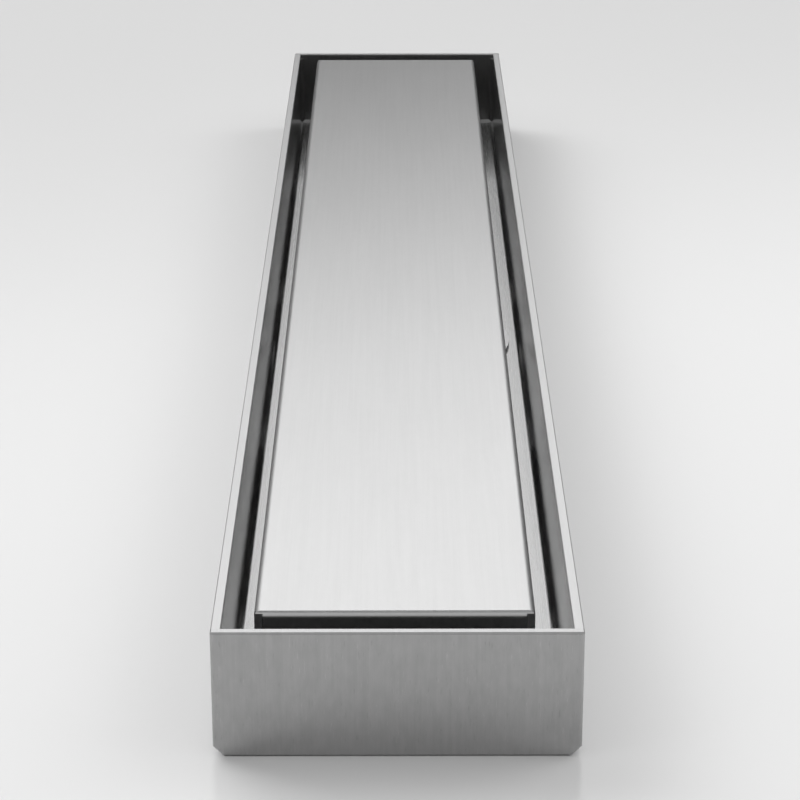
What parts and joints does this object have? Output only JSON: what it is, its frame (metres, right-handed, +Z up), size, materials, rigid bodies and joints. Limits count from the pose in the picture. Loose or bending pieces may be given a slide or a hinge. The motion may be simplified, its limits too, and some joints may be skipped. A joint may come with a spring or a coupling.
{
  "type": "shower channel drain",
  "caption": "Linear shower channel drain: folded open trough with a flat lift-out cover, an even water gap all round it, and a strainer over the floor outlet.",
  "frame": {"origin": "under the middle of the channel, on the surface that it stands on, which is also the outlet's centre", "axes": "+Z up, out of the open side; +Y along the channel's length; +X across it"},
  "size_m": [0.07, 0.45, 0.026],
  "materials": {
    "trough_steel": "fine brushed along the length",
    "plate_steel": "fine brushed upwards",
    "cover_steel": "fine brushed along the length",
    "support_steel": "mill finish",
    "strainer_steel": "bright pressed"
  },
  "bodies": {
    "root": {"channel_trough": "trough_steel", "end_plate_front": "plate_steel", "end_plate_rear": "plate_steel", "cover_tray": "cover_steel", "support_front_outer": "support_steel", "support_front_inner": "support_steel", "support_rear_inner": "support_steel", "support_rear_outer": "support_steel", "hair_strainer": "strainer_steel"}
  },
  "joints": []
}
